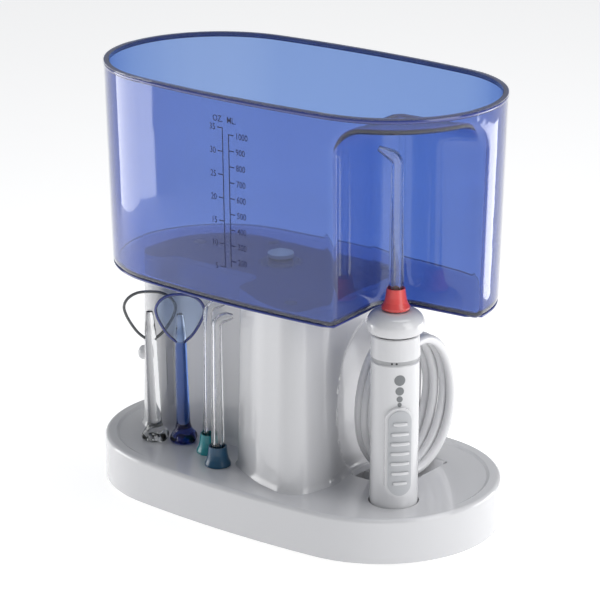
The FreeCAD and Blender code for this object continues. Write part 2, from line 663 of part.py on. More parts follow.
def valve_guide():
    """Spider pressed into the tank's outlet boss, guiding the valve stem."""
    rim = cylinder(*PORT, SEAT - 6.6, 6.6, 2.4).cut(cylinder(*PORT, SEAT - 8, 5.2, 8))
    hub = cylinder(*PORT, SEAT - 6.6, 2.4, 2.4)
    spokes = [box(PORT[0] - 5.6, PORT[0] + 5.6, PORT[1] - 0.6, PORT[1] + 0.6, SEAT - 6.6, SEAT - 4.8),
              box(PORT[0] - 0.6, PORT[0] + 0.6, PORT[1] - 5.6, PORT[1] + 5.6, SEAT - 6.6, SEAT - 4.8)]
    return fused(rim, hub, *spokes).cut(cylinder(*PORT, SEAT - 8, 1.17, 8))


# ---------------------------------------------------------------- hand piece

def handle_shell():
    outer = turned([(0, HAND_FOOT), (HAND_R - 0.8, HAND_FOOT), (HAND_R, HAND_FOOT + 0.8), (HAND_R, 90.4),
                    (HAND_R - 0.5, 90.9), (9.9, 90.9), (9.9, SLEEVE_BOTTOM), (9.2, SLEEVE_BOTTOM), (9.2, 100.0),
                    (0, 100.0)])
    inner = turned([(0, HAND_FOOT), (9.2, HAND_FOOT), (9.2, 89.0), (7.6, 91.0), (7.6, 100.0), (0, 100.0)])
    slot = box(8, 12, -2.2, 2.2, 40.0, 56.4)
    return at_hand(outer.cut([inner, slot]))


def indicator_ring():
    ring = cylinder(0, 0, 90.9, 10.4, SLEEVE_BOTTOM - 90.9).cut(cylinder(0, 0, 90, 9.9, 5))
    return at_hand(ring)


def neck_sleeve():
    return at_hand(turned([(9.25, SLEEVE_BOTTOM), (11.25, SLEEVE_BOTTOM), (11.35, SLEEVE_BOTTOM + 0.5),
                           (10.9, SLEEVE_TOP - 0.5), (10.5, SLEEVE_TOP), (10.0, SLEEVE_TOP), (9.9, 100.2),
                           (9.25, 100.2)]))


def level_dots():
    dots = []
    for z, radius in ((84.3, 2.5), (79.2, 1.95), (75.4, 1.4), (72.8, 0.95)):
        pin = cylinder(8, 0, z, radius, 5, V(1, 0, 0))
        dots.append(at_hand(pin.common(cylinder(0, 0, z - 4, HAND_R + 0.12, 8)).cut(
            cylinder(0, 0, z - 5, HAND_R, 10))))
    return Part.makeCompound(dots)


def end_cap():
    disc = cylinder(0, 0, HAND_FOOT, 9.15, 2.6)
    return at_hand(fused(disc, cylinder(0, 0, HAND_FOOT + 2.6, 2.6, 4)).cut(cylinder(0, 0, HAND_FOOT - 1, 1.3, 9)))


def core_tube():
    """Water way up the hand piece, with the pressure valve's housing half way."""
    pipe = cylinder(0, 0, HAND_FOOT + 6.6, 2.6, 78.9)
    housing = box(-4.5, 7.0, -4.6, 4.6, 37.0, 59.5)
    pocket = box(3.2, 8.0, -3.0, 3.0, 38.6, 58.0)
    flange = cylinder(0, 0, 97.4, 7.5, 1.6)
    socket = cylinder(0, 0, 99.0, 6.4, 2.1).cut(cylinder(0, 0, 98, 5.1, 6))
    bore = cylinder(0, 0, 10, 1.3, 100)
    return at_hand(fused(pipe, housing, flange, socket).cut([pocket, bore]))


def eject_collar():
    profile = [(5.3, 103.9), (10.6, 103.9), (11.8, 104.7), (12.6, 106.1), (COLLAR_R, COLLAR_MID),
               (12.6, 109.7), (11.8, 111.4), (10.4, 112.9), (8.2, 113.9), (6.6, 114.2), (5.3, 114.2)]
    return at_hand(turned(profile))


def tip_chuck():
    outer = turned([(0, 99.4), (5.0, 99.4), (5.0, 113.6), (4.6, 114.0), (0, 114.0)])
    return at_hand(outer.cut(cylinder(0, 0, 99, 2.6, 20)))


def jet_tube(z0, z_bend, r_low, r_high, lift, nozzle, facing, spot, stub):
    """Clear tube: tapered riser, elbow and fine nozzle, bored through; lift is the nozzle's rise angle."""
    elbow_r = 5.0
    turn = 90.0 - lift
    phi = math.radians(turn)
    tip = V(elbow_r * (1 - math.cos(phi)), 0, z_bend + elbow_r * math.sin(phi))
    way = V(math.sin(phi), 0, math.cos(phi))

    def bent(r_start, r_elbow, r_end):
        riser = cone(0, 0, z0, r_start, r_elbow, z_bend - z0)
        circle = Part.Face(Part.Wire([Part.Circle(V(0, 0, z_bend), V(0, 0, 1), r_elbow).toShape()]))
        elbow = circle.revolve(V(elbow_r, 0, z_bend), V(0, 1, 0), turn)
        point = Part.makeCone(r_elbow, r_end, nozzle, tip, way)
        return riser.fuse([elbow, point])

    solid = bent(r_low, r_high, 1.2).fuse(cylinder(0, 0, z0 - stub, 2.4, stub))
    solid = solid.cut([bent(1.5, r_high - 0.9, 0.5), cylinder(0, 0, z0 - stub - 1, 1.3, stub + 2)])
    solid = solid.removeSplitter()
    solid.rotate(V(0, 0, 0), V(0, 0, 1), facing)
    solid.translate(V(*spot, 0))
    return solid


def tip_collar(z0, spot, r_low, r_mid, r_top, height):
    """Flared coloured collar that names the tip's owner."""
    profile = [(2.45, z0), (r_low - 0.4, z0), (r_low, z0 + 0.4), (r_low, z0 + 1.3), (r_mid + 0.5, z0 + 0.36 * height),
               (r_mid, z0 + 0.6 * height), (r_top, z0 + height), (r_top - 0.5, z0 + height),
               (r_top - 0.5, z0 + 0.55 * height), (2.45, z0 + 0.55 * height)]
    return turned(profile, *spot)


def stored_jet(spot, z_bend):
    collar_h = 9.6
    seat = DECK + 0.55 * collar_h
    riser = jet_tube(seat, z_bend, 3.25, 2.35, 5.0, 3.2, VIEW_SIDE, spot, seat - DECK + STUB_DEPTH)
    return riser, tip_collar(DECK, spot, 6.2, 4.7, 4.3, collar_h)


def leaf(grow, thickness, y0, base_z):
    """Leaf-shaped scoop outline in the XZ plane, extruded along Y."""
    corners = [(0.0, base_z, 2.6), (10.9, base_z + 15.4, 5.0), (8.6, base_z + 21.2, 5.5),
               (0.0, base_z + 24.6, 14.0), (-8.6, base_z + 21.2, 5.5), (-10.9, base_z + 15.4, 5.0)]
    wire = rounded_loop(corners, 0.0, grow)
    solid = prism(wire, thickness)
    solid.rotate(V(0, 0, 0), V(1, 0, 0), 90)
    solid.translate(V(0, y0 + thickness, 0))
    return solid


def tongue_cleaner(spot, shift):
    """Flared foot, tapering stem and a thin scoop held in a rim."""
    foot = turned([(0, DECK), (5.6, DECK), (6.4, DECK + 1.2), (6.3, DECK + 3.0), (5.4, DECK + 5.0),
                   (4.2, DECK + 6.8), (3.5, DECK + 9.0), (2.8, 75.0), (2.3, 81.0), (1.6, 86.4), (0, 86.6)])
    base_z = 73.2
    rim = leaf(0.0, 1.6, 0.6, base_z).cut(leaf(-1.2, 3.0, 0.0, base_z))
    film = leaf(-1.0, 0.7, 1.05, base_z)
    scoop = rim.fuse(film)
    scoop.translate(V(shift, 0, 0))
    solid = foot.fuse([scoop, cylinder(0, 0, DECK - STUB_DEPTH, STUB_R, STUB_DEPTH)])
    solid = solid.cut(cylinder(0, 0, DECK - STUB_DEPTH - 1, 1.2, 30)).removeSplitter()
    solid.rotate(V(0, 0, 0), V(0, 0, 1), VIEW_SIDE)
    solid.translate(V(*spot, 0))
    return solid


def coral_collar():
    return tip_collar(TIP_SEAT, HAND, 6.4, 4.7, 4.15, 9.8)


def hand_jet():
    seat = TIP_SEAT + 0.55 * 9.8
    return jet_tube(seat, 181.2, 3.55, 2.65, 28.0, 6.4, VIEW_SIDE + 180, HAND, seat - TIP_SEAT + 9.0)


# ---------------------------------------------------------------- pressure slider

def pressure_slider():
    block = flat_oval(8, 16, 12.8, SLIDER_Z0, SLIDER_Z1)
    block = block.common(cylinder(0, 0, 20, HAND_R + 1.9, 60)).cut(cylinder(0, 0, 20, HAND_R + 0.2, 60))
    stem = box(7.4, HAND_R + 0.8, -1.9, 1.9, 46.0, 56.0)
    return at_hand(fused(block, stem))


def slider_pad():
    pad = flat_oval(8, 16, 10.6, SLIDER_Z0 + 1.2, SLIDER_Z1 - 1.2)
    pad = pad.common(cylinder(0, 0, 20, HAND_R + 2.5, 60)).cut(cylinder(0, 0, 20, HAND_R + 1.9, 60))
    ridges = []
    for z, width in ((64.3, 6.4), (59.5, 8.2), (54.8, 9.0), (50.1, 9.0), (45.3, 9.0), (40.6, 8.2), (35.8, 6.4)):
        bar = box(8, 16, -width / 2, width / 2, z - 0.55, z + 0.55)
        ridges.append(bar.common(cylinder(0, 0, 20, HAND_R + 3.1, 60)).cut(cylinder(0, 0, 20, HAND_R + 2.2, 60)))
    return at_hand(fused(pad, *ridges))


def valve_spool():
    return at_hand(box(3.6, 7.4, -2.6, 2.6, 47.5, 57.4))


def build():
    os.makedirs("parts", exist_ok=True)
    teal_tube, teal_collar = stored_jet(JET_TEAL, 92.2)
    navy_tube, navy_collar = stored_jet(JET_NAVY, 91.2)
    nodes = {
        "base_housing": base_housing(), "bottom_cover": bottom_cover(), "rubber_feet": rubber_feet(),
        "cover_screws": cover_screws(), "cord_gland": cord_gland(), "tower_shell": tower_shell(),
        "tower_cap": tower_cap(), "port_seal": port_seal(), "switch_body": switch_body(),
        "rectifier_board": rectifier_board(), "gear_frame": gear_frame(), "motor_plate": motor_plate(),
        "frame_screws": frame_screws(), "gear_axle": gear_axle(), "motor_can": motor_can(),
        "motor_bearings": motor_bearings(), "motor_magnets": motor_magnets(), "pump_body": pump_body(),
        "pump_head": pump_head(), "inlet_check_valve": check_valve(AXLE[1] + 3.6),
        "outlet_check_valve": check_valve(AXLE[1] - 5.2), "inlet_tube": inlet_tube(),
        "outlet_tube": outlet_tube(), "outlet_fitting": outlet_fitting(), "hose_root": hose_root(),
        "hose_coil": hose_coil(), "hose_lead": hose_lead(), "power_button": power_button(),
        "motor_pinion": motor_pinion(), "motor_shaft": motor_shaft(), "crank_gear": crank_gear(),
        "piston": piston(), "piston_seal": piston_seal(), "tank": tank(), "valve_guide": valve_guide(),
        "tank_valve": tank_valve(), "valve_seal": valve_seal(), "handle_shell": handle_shell(),
        "neck_sleeve": neck_sleeve(), "indicator_ring": indicator_ring(), "level_dots": level_dots(),
        "end_cap": end_cap(), "core_tube": core_tube(), "eject_collar": eject_collar(),
        "tip_chuck": tip_chuck(), "coral_collar": coral_collar(), "hand_jet": hand_jet(),
        "pressure_slider": pressure_slider(), "slider_pad": slider_pad(), "valve_spool": valve_spool(),
        "clear_tongue_cleaner": tongue_cleaner(CLEANER_CLEAR, -2.2),
        "blue_tongue_cleaner": tongue_cleaner(CLEANER_BLUE, 0.6),
        "teal_jet_tube": teal_tube, "teal_collar": teal_collar,
        "navy_jet_tube": navy_tube, "navy_collar": navy_collar}
    for name, shape in nodes.items():
        save(name, shape)
        print(name, "solids", len(shape.Solids), "volume", round(shape.Volume), "valid", shape.isValid())


build()
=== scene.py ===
import json
import math
import bpy
import bmesh
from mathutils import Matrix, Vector


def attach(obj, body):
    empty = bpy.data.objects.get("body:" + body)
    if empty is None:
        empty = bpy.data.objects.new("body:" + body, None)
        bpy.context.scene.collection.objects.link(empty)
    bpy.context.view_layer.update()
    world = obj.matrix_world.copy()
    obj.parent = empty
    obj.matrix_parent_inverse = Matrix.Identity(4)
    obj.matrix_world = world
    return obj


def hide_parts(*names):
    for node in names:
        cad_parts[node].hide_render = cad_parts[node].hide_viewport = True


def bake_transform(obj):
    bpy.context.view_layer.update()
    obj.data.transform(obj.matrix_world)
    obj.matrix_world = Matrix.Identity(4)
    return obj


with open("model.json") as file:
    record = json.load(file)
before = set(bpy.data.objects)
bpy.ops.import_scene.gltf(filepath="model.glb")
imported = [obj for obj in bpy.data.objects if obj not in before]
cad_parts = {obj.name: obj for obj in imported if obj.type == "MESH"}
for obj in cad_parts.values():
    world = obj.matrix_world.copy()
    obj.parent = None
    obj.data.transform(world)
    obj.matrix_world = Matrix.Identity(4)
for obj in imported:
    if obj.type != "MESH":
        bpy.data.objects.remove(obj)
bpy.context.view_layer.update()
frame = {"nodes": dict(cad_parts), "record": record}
nodes = frame["nodes"]

# Sizes and places are in millimetres.
MM = 0.001


# ------------------------------------------------------------ camera

CAMERA_AT = Vector((0.74734, -0.96168, 0.50918))
CAMERA_AIM = Vector((0.000485, 0.0, 0.098535))
camera_data = bpy.data.cameras.new("camera")
camera_data.sensor_width = 36.0
camera_data.lens = 164.73
camera_data.clip_start = 0.05
camera_data.clip_end = 20.0
camera = bpy.data.objects.new("camera", camera_data)
camera.location = CAMERA_AT
camera.rotation_euler = (CAMERA_AIM - CAMERA_AT).to_track_quat("-Z", "Y").to_euler()
bpy.context.scene.collection.objects.link(camera)
bpy.context.scene.camera = camera


# ------------------------------------------------------------ helpers

SHARP_ANGLE = math.radians(38)
UP = Vector((0, 0, 1))


def link(obj):
    bpy.context.scene.collection.objects.link(obj)
    return obj


def nurbs(name, points, radius, resolution=10):
    """Curve of one open NURBS spline of order 3, through to both end points."""
    data = bpy.data.curves.new(name, "CURVE")
    data.dimensions = "3D"
    data.resolution_u = resolution
    data.bevel_depth = 1.0 if radius else 0.0
    data.bevel_resolution = 6
    data.use_fill_caps = True
    spline = data.splines.new("NURBS")
    spline.points.add(len(points) - 1)
    for point, at in zip(spline.points, points):
        point.co = (at[0] * MM, at[1] * MM, at[2] * MM, 1.0)
        point.radius = radius * MM
    spline.use_smooth = True
    spline.order_u = 3
    spline.use_endpoint_u = True
    return link(bpy.data.objects.new(name, data))


def line_of(curve):
    """Points along a curve object's own spline, in metres."""
    depth, curve.data.bevel_depth = curve.data.bevel_depth, 0.0
    bpy.context.view_layer.update()
    data = bpy.data.meshes.new_from_object(curve)
    points = [v.co.copy() for v in data.vertices]
    bpy.data.meshes.remove(data)
    curve.data.bevel_depth = depth
    return points


def smooth_line(name, points, resolution):
    """Points along the smooth curve that the given points steer, in metres."""
    guide = nurbs(name, points, 0.0, resolution)
    line = line_of(guide)
    bpy.data.objects.remove(guide)
    return line


def mesh_object(name, bm, smooth=True):
    data = bpy.data.meshes.new(name)
    bmesh.ops.recalc_face_normals(bm, faces=bm.faces)
    bm.to_mesh(data)
    bm.free()
    if smooth:
        data.shade_smooth()
        data.set_sharp_from_angle(angle=SHARP_ANGLE)
    return link(bpy.data.objects.new(name, data))


def round_angles(sides):
    """Angles of a full circle in equal steps, in radians."""
    return [2 * math.pi * k / sides for k in range(sides)]


def ring_of(bm, middle, right, up, radius, sides):
    """Round ring of vertices about a point, in the plane of two unit vectors."""
    return [bm.verts.new(middle + (right * math.cos(a) + up * math.sin(a)) * radius)
            for a in round_angles(sides)]


def skin(bm, rings, closed=False):
    """Faces from each ring to the next. The last ring joins the first, or both end rings are capped."""
    for a, b in zip(rings, rings[1:] + (rings[:1] if closed else [])):
        for k in range(len(a)):
            after = (k + 1) % len(a)
            bm.faces.new((a[k], a[after], b[after], b[k]))
    if not closed:
        bm.faces.new(rings[0])
        bm.faces.new(rings[-1])


def sweep(name, points, radius, sides=20):
    """Round tube along points, all in metres, with flat ends and no twist."""
    bm = bmesh.new()
    rings = []
    normal = Vector((1, 0, 0))
    for i, p in enumerate(points):
        ahead = (points[min(i + 1, len(points) - 1)] - points[max(i - 1, 0)]).normalized()
        normal = (normal - ahead * normal.dot(ahead)).normalized()
        rings.append(ring_of(bm, p, normal, ahead.cross(normal), radius, sides))
    skin(bm, rings)
    return mesh_object(name, bm)


def level_bead(name, points, radius, sides=14):
    """Round bead along a closed level loop of points, all in metres."""
    bm = bmesh.new()
    rings = []
    for i, p in enumerate(points):
        ahead = (points[(i + 1) % len(points)] - points[i - 1]).normalized()
        side = ahead.cross(UP).normalized()
        rings.append(ring_of(bm, p, side, side.cross(ahead), radius, sides))
    skin(bm, rings, closed=True)
    return mesh_object(name, bm)


def eased(t):
    """Smooth step from 0 at 0 to 1 at 1."""
    t = max(0.0, min(1.0, t))
    return t * t * (3 - 2 * t)


# ------------------------------------------------------------ hose

HOSE_R = 2.2
COIL_Y, COIL_Z = 15.3, 54.0
COIL_TURNS, COIL_STEPS = 4.5, 16
# The turns run from the tower outwards along X, and each is a little larger than the one before.
COIL_X, COIL_RUN, COIL_PACKING = 40.0, 20.2, 0.98
COIL_HALF_Y, COIL_GROWTH_Y = 25.6, 1.5
COIL_HALF_Z, COIL_GROWTH_Z = 32.0, 2.2
# Unevenness of the turns along each axis, as waves of (size, waves per turn, phase in radians).
SWAY_X = ((0.35, 3.1, 0.0),)
SWAY_Y = ((0.7, 1.37, 0.0),)
SWAY_Z = ((0.55, 2.3, 0.8), (0.35, 0.71, 0.0))
FITTING_END = [(39.8, 39.0, 17.6), (39.8, 39.0, 24.0), (39.8, 39.1, 32.0), (39.9, 39.3, 42.0)]
DECK_END = [(59.8, -10.4, 54.0), (59.4, -9.4, 44.0), (59.1, -6.6, 34.0), (59.0, -4.2, 27.0),
            (59.0, -3.6, 22.0)]


def sway(waves, angle):
    return sum(size * math.sin(rate * angle + phase) for size, rate, phase in waves)


def coil_points():
    """Hose centreline: up out of the fitting, four and a half uneven oval turns, then down to the deck."""
    turns = []
    total = int(COIL_TURNS * COIL_STEPS)
    for i in range(1, total):
        angle = 2 * math.pi * (i / COIL_STEPS)
        share = i / total
        half_y = COIL_HALF_Y + COIL_GROWTH_Y * share + sway(SWAY_Y, angle)
        half_z = COIL_HALF_Z + COIL_GROWTH_Z * share + sway(SWAY_Z, angle)
        x = COIL_X + COIL_RUN * share ** COIL_PACKING + sway(SWAY_X, angle)
        turns.append((x, COIL_Y + half_y * math.cos(angle), COIL_Z + half_z * math.sin(angle)))
    return FITTING_END + turns + DECK_END


coil = nurbs("hose_turns", coil_points(), HOSE_R, 8)
coil_line = line_of(coil)
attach(coil, "root")
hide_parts("hose_coil", "hose_root")

LEAD = [(59.0, -3.6, 21.8), (59.0, -3.6, 14.0), (60.2, -5.1, 9.2), (63.7, -10.8, 7.0), (67.7, -16.8, 7.3),
        (70.6, -20.7, 10.6), (70.6, -20.7, 14.5)]
lead_line = smooth_line("lead_guide", LEAD, 12)
lead = sweep("hose_under_deck", lead_line, HOSE_R * MM)
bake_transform(lead)
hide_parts("hose_lead")


# ------------------------------------------------------------ tank rim and lower edge

TANK_TOP, TANK_SEAT = 208.0, 109.5
TANK_HALF_LENGTH, TANK_HALF_WIDTH, TANK_SHIFT = 102.5, 55.7, 1.4
SIDE_TAPER, END_TAPER, SIDE_BOW = 2.0, 2.6, 555.0
RIM_BEAD_R, RIM_BEAD_INSET = 1.25, 1.05
LOW_BEAD_R, LOW_BEAD_INSET, LOW_BEAD_Z = 0.6, 0.75, TANK_SEAT + 1.1
# The oval is cut away in front of ALCOVE_BACK and right of ALCOVE_LEFT, where the alcove's wall closes it.
ALCOVE_LEFT, ALCOVE_BACK, ALCOVE_MOUTH = 54.5, 3.5, 30.0
ALCOVE_LINE = [(57.0, -48.5), (56.0, -30.0), (55.2, -18.0), (56.0, -11.6), (59.0, -6.6), (64.0, -3.8),
               (69.5, -2.7), (80.0, -1.7), (94.0, -0.4)]


def oval_points(half_length, half_width, z, inset, steps=40):
    """Points round the long oval: two bowed sides joined by tangent round ends, in metres."""
    half_l, half_w, bow = half_length - inset, half_width - inset, SIDE_BOW - inset
    a, b = bow - half_w, bow - half_l
    centre = (a * a - b * b) / (2 * b)
    end_r = half_l - centre
    turn = math.atan2(a, centre)
    sweep_half = math.pi / 2 - turn
    points = []
    for flip in (1, -1):
        for i in range(steps):
            angle = -turn + 2 * turn * i / steps
            points.append((flip * (centre + end_r * math.cos(angle)), flip * end_r * math.sin(angle)))
        for i in range(steps):
            angle = math.pi / 2 - sweep_half + 2 * sweep_half * i / steps
            points.append((flip * bow * math.cos(angle), flip * (bow * math.sin(angle) - a)))
    return [Vector(((x + TANK_SHIFT) * MM, y * MM, z * MM)) for x, y in points]


def low_edge_points():
    """Tank's lower edge: the oval from one side of the alcove to the other, then the alcove's wall."""
    half_length, half_width = TANK_HALF_LENGTH - END_TAPER, TANK_HALF_WIDTH - SIDE_TAPER
    oval = oval_points(half_length, half_width, LOW_BEAD_Z, LOW_BEAD_INSET)
    kept = [p for p in oval if p.x < ALCOVE_LEFT * MM or p.y > ALCOVE_BACK * MM]
    first = next(i for i, p in enumerate(kept) if (kept[i - 1] - p).length > ALCOVE_MOUTH * MM)
    return kept[first:] + kept[:first] + [Vector((x * MM, y * MM, LOW_BEAD_Z * MM)) for x, y in ALCOVE_LINE]


# The rim bead and the low bead are opaque dark navy: partly the tank's deeper blue where its plastic is
# thick, partly painted shade for the dark outline that refraction of dark surroundings gives the clear
# edges.
rim_line = oval_points(TANK_HALF_LENGTH, TANK_HALF_WIDTH, TANK_TOP - RIM_BEAD_R, RIM_BEAD_INSET)
rim_bead = level_bead("tank_rim_bead", rim_line, RIM_BEAD_R * MM)
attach(rim_bead, "tank")
low_bead = level_bead("tank_low_bead", low_edge_points(), LOW_BEAD_R * MM, 10)
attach(low_bead, "tank")


# ------------------------------------------------------------ volume marks

# The ink is a thin raised layer, from INK_LOW to INK_HIGH proud of the tank's front wall.
# LINE is half the width of a printed line.
INK_LOW, INK_HIGH, LINE = 0.02, 0.07, 0.26
FIGURE_HEIGHT, FIGURE_WIDTH, CAPITALS = 2.9, 0.84, 0.70
OUNCE_LOW, OUNCE_STEP, OUNCE_COUNT = 128.5, 10.83, 7
ML_LOW, ML_STEP, ML_COUNT = 132.0, 7.36, 9
# The ounce line stands at X 0 and its marks reach left. The millilitre line's marks reach right.
OUNCE_MARK, OUNCE_FIGURES = -2.9, -4.0
ML_LINE, ML_MARK, ML_FIGURES, ML_TAIL = 3.5, 6.3, 7.3, 3.0
HEADING_Z, OUNCE_HEADING, ML_HEADING = 197.6, 0.4, 2.6


def on_front_wall(x, z, proud):
    """Point on the tank's front face, proud of it by a little, in metres."""
    lean = SIDE_TAPER * (TANK_TOP - z) / (TANK_TOP - TANK_SEAT)
    y = -(TANK_HALF_WIDTH - lean) + (x - TANK_SHIFT) ** 2 / (2 * SIDE_BOW)
    return Vector((x * MM, (y - proud) * MM, z * MM))


def printed_bar(bm, x0, x1, z0, z1):
    """Thin raised bar of ink on the front wall."""
    v = [bm.verts.new(on_front_wall(x, z, proud)) for proud in (INK_LOW, INK_HIGH)
         for x, z in ((x0, z0), (x1, z0), (x1, z1), (x0, z1))]
    for face in ((3, 2, 1, 0), (4, 5, 6, 7), (0, 1, 5, 4), (1, 2, 6, 5), (2, 3, 7, 6), (3, 0, 4, 7)):
        bm.faces.new([v[i] for i in face])


def printed_text(bm, words, x, z, align):
    """Plain figures laid on the front wall, centred on height z."""
    data = bpy.data.curves.new("figures", "FONT")
    data.body = words
    data.size = FIGURE_HEIGHT / CAPITALS
    data.align_x = align
    # From -0.5 to 0.5 deep, which is then scaled to the thickness of the ink.
    data.extrude = 0.5
    data.offset = 0.025
    data.resolution_u = 3
    holder = link(bpy.data.objects.new("figures", data))
    bpy.context.view_layer.update()
    flat = bpy.data.meshes.new_from_object(holder)
    made = []
    for v in flat.vertices:
        proud = (INK_LOW + INK_HIGH) / 2 + (INK_HIGH - INK_LOW) * v.co.z
        across, rise = v.co.x * FIGURE_WIDTH, v.co.y - FIGURE_HEIGHT / 2
        made.append(bm.verts.new(on_front_wall(x + across, z + rise, proud)))
    for face in flat.polygons:
        bm.faces.new([made[i] for i in face.vertices])
    bpy.data.objects.remove(holder)
    bpy.data.meshes.remove(flat)
    bpy.data.curves.remove(data)


def volume_marks():
    """Both scales: ounces in steps of 5 from 5, and millilitres in steps of 100 from 200."""
    bm = bmesh.new()
    ounce_top, ml_top = OUNCE_LOW + (OUNCE_COUNT - 1) * OUNCE_STEP, ML_LOW + (ML_COUNT - 1) * ML_STEP
    printed_bar(bm, -LINE, LINE, OUNCE_LOW - LINE, ounce_top + LINE)
    printed_bar(bm, ML_LINE - LINE, ML_LINE + LINE, ML_LOW - ML_TAIL, ml_top + LINE)
    for i in range(OUNCE_COUNT):
        z = OUNCE_LOW + i * OUNCE_STEP
        printed_bar(bm, OUNCE_MARK, -LINE, z - LINE, z + LINE)
        printed_text(bm, str(5 * (i + 1)), OUNCE_FIGURES, z, "RIGHT")
    for i in range(ML_COUNT):
        z = ML_LOW + i * ML_STEP
        printed_bar(bm, ML_LINE + LINE, ML_MARK, z - LINE, z + LINE)
        printed_text(bm, str(100 * (i + 2)), ML_FIGURES, z, "LEFT")
    printed_text(bm, "OZ.", OUNCE_HEADING, HEADING_Z, "RIGHT")
    printed_text(bm, "ML.", ML_HEADING, HEADING_Z, "LEFT")
    return mesh_object("scale_print", bm, smooth=False)


scale_print = volume_marks()
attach(scale_print, "tank")


# ------------------------------------------------------------ tower

DECK, TOWER_TOP, TOWER_WALL = 22.6, 107.0, 2.4
TOWER_DRAFT, FOOT_FLARE, FLARE_HEIGHT = 1.6, 1.2, 3.5
# Each corner is X, Y and its radius.
TOWER_OUTLINE = [
    (-85.0, 39.0, 37.0), (-85.0, -20.4, 10.5), (-69.0, -18.0, 4.6), (-65.0, -11.4, 4.6),
    (-13.0, -11.4, 6.0), (-13.0, -29.5, 6.0), (9.0, -40.5, 40.0), (32.0, -46.0, 9.0),
    (36.4, -24.0, 16.0), (34.0, -8.0, 12.0), (34.0, 39.0, 8.0)]
# Spacing of the outline's points, and the angle between them round a tight corner, in radians.
OUTLINE_STEP, CORNER_STEP = 1.6, 0.16
# A shallow oval recess in the right wall backs the hose. It fades out where the wall turns away from +X.
RECESS_HALF_Y, RECESS_HALF_Z, RECESS_DEPTH = 33.5, 42.0, 2.6
RECESS_EDGE, RECESS_FACING, RECESS_FADE = 0.05, 0.75, 0.2
FOOT_RISES = (0.02, 0.5, 1.0, 1.6, 2.3, 3.0, 3.6, 4.4)
WALL_START, LEVEL_STEP, LEVEL_COUNT = 6.0, 1.5, 52
TOP_EDGE, TOP_EDGE_INSET = 0.4, 0.35
INNER_LEVELS = (TOWER_TOP, 80.0, 50.0, DECK + 0.02)


def corner_arc(before, here, after, radius):
    """Start, middle, end and radius of the arc that rounds one corner."""
    to_before, to_after = (before - here).normalized(), (after - here).normalized()
    half = math.acos(max(-1.0, min(1.0, to_before.dot(to_after)))) / 2
    reach = radius / math.tan(half)
    middle = here + (to_before + to_after).normalized() * (radius / math.sin(half))
    return here + to_before * reach, middle, here + to_after * reach, radius


def outline(corners):
    """(point, outward normal) pairs round a closed outline of straight sides and corner arcs."""
    count = len(corners)
    spots = [Vector(corner[:2]) for corner in corners]
    arcs = [corner_arc(spots[i - 1], spots[i], spots[(i + 1) % count], corners[i][2])
            for i in range(count)]
    pairs = []
    for i, (start, middle, end, radius) in enumerate(arcs):
        a0 = math.atan2(*(start - middle).yx)
        a1 = math.atan2(*(end - middle).yx)
        turn = (a1 - a0 + math.pi) % (2 * math.pi) - math.pi
        outward = 1 if turn > 0 else -1
        pieces = max(3, int(abs(turn) * radius / OUTLINE_STEP), int(abs(turn) / CORNER_STEP))
        for k in range(pieces):
            a = a0 + turn * k / pieces
            way = Vector((math.cos(a), math.sin(a)))
            pairs.append((middle + way * radius, way * outward))
        run = arcs[(i + 1) % count][0] - end
        way = Vector((run.y, -run.x)).normalized()
        pieces = max(1, int(run.length / OUTLINE_STEP))
        for k in range(pieces):
            pairs.append((end + run * (k / pieces), way))
    return pairs


def tower_point(point, way, z, inward):
    """An outline point at height z, in metres: drafted, flared at the foot and sunk round the hose."""
    share = (z - DECK) / (TOWER_TOP - DECK)
    grow = TOWER_DRAFT * (1 - share) - inward
    if not inward:
        grow += FOOT_FLARE * max(0.0, 1 - (z - DECK) / FLARE_HEIGHT) ** 2
    if way.x > RECESS_FACING:
        ring = math.hypot((point.y - COIL_Y) / RECESS_HALF_Y, (z - COIL_Z) / RECESS_HALF_Z)
        edge = eased((1.0 - ring) / RECESS_EDGE)
        grow -= RECESS_DEPTH * edge * eased((way.x - RECESS_FACING) / RECESS_FADE)
    at = point + way * grow
    return Vector((at.x * MM, at.y * MM, z * MM))


def tower_skin():
    """Tower wall as one closed skin: up the outside, over the top edge and down the inside."""
    walls = [(DECK + rise, 0.0) for rise in FOOT_RISES]
    walls += [(DECK + WALL_START + LEVEL_STEP * i, 0.0) for i in range(LEVEL_COUNT)]
    walls += [(TOWER_TOP - TOP_EDGE, 0.0), (TOWER_TOP, TOP_EDGE_INSET)]
    walls += [(z, TOWER_WALL) for z in INNER_LEVELS]
    pairs = outline(TOWER_OUTLINE)
    bm = bmesh.new()
    skin(bm, [[bm.verts.new(tower_point(point, way, z, inward)) for point, way in pairs]
              for z, inward in walls], closed=True)
    return mesh_object("tower_skin", bm)


tower = tower_skin()
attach(tower, "root")
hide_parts("tower_shell")


# ------------------------------------------------------------ filled end of the hose trough

# The corner block is round at its rear right corner, whose centre this is, and straight elsewhere.
INFILL_CORNER, INFILL_FRONT_Y = (56.8, 42.0), 31.8
INFILL_BACK_X, INFILL_FRONT_LEFT, INFILL_ARC_STEPS = 43.6, (43.2, 34.0), 8
# Each level is its height and how far it reaches from that centre. The block flares at the deck.
INFILL_LEVELS = ((16.2, 5.95), (20.8, 5.95), (22.57, 7.7))
# The cradle under the turns is a bar along Y with a hollowed top.
CRADLE_X, CRADLE_FOOT, CRADLE_TOP = (37.35, 62.65), 15.6, 22.4
CRADLE_Y0, CRADLE_Y1, CRADLE_STEPS = 1.5, 35.4, 36
CRADLE_HALF_Y, CRADLE_HALF_Z = 29.2, 37.4


def infill_outline(reach):
    """Corner block's outline at one level."""
    x, y = INFILL_CORNER
    angles = [math.pi / 2 * k / INFILL_ARC_STEPS for k in range(INFILL_ARC_STEPS + 1)]
    arc = [(x + reach * math.cos(a), y + reach * math.sin(a)) for a in angles]
    return [(x + reach, INFILL_FRONT_Y)] + arc + [(INFILL_BACK_X, y + reach), INFILL_FRONT_LEFT]


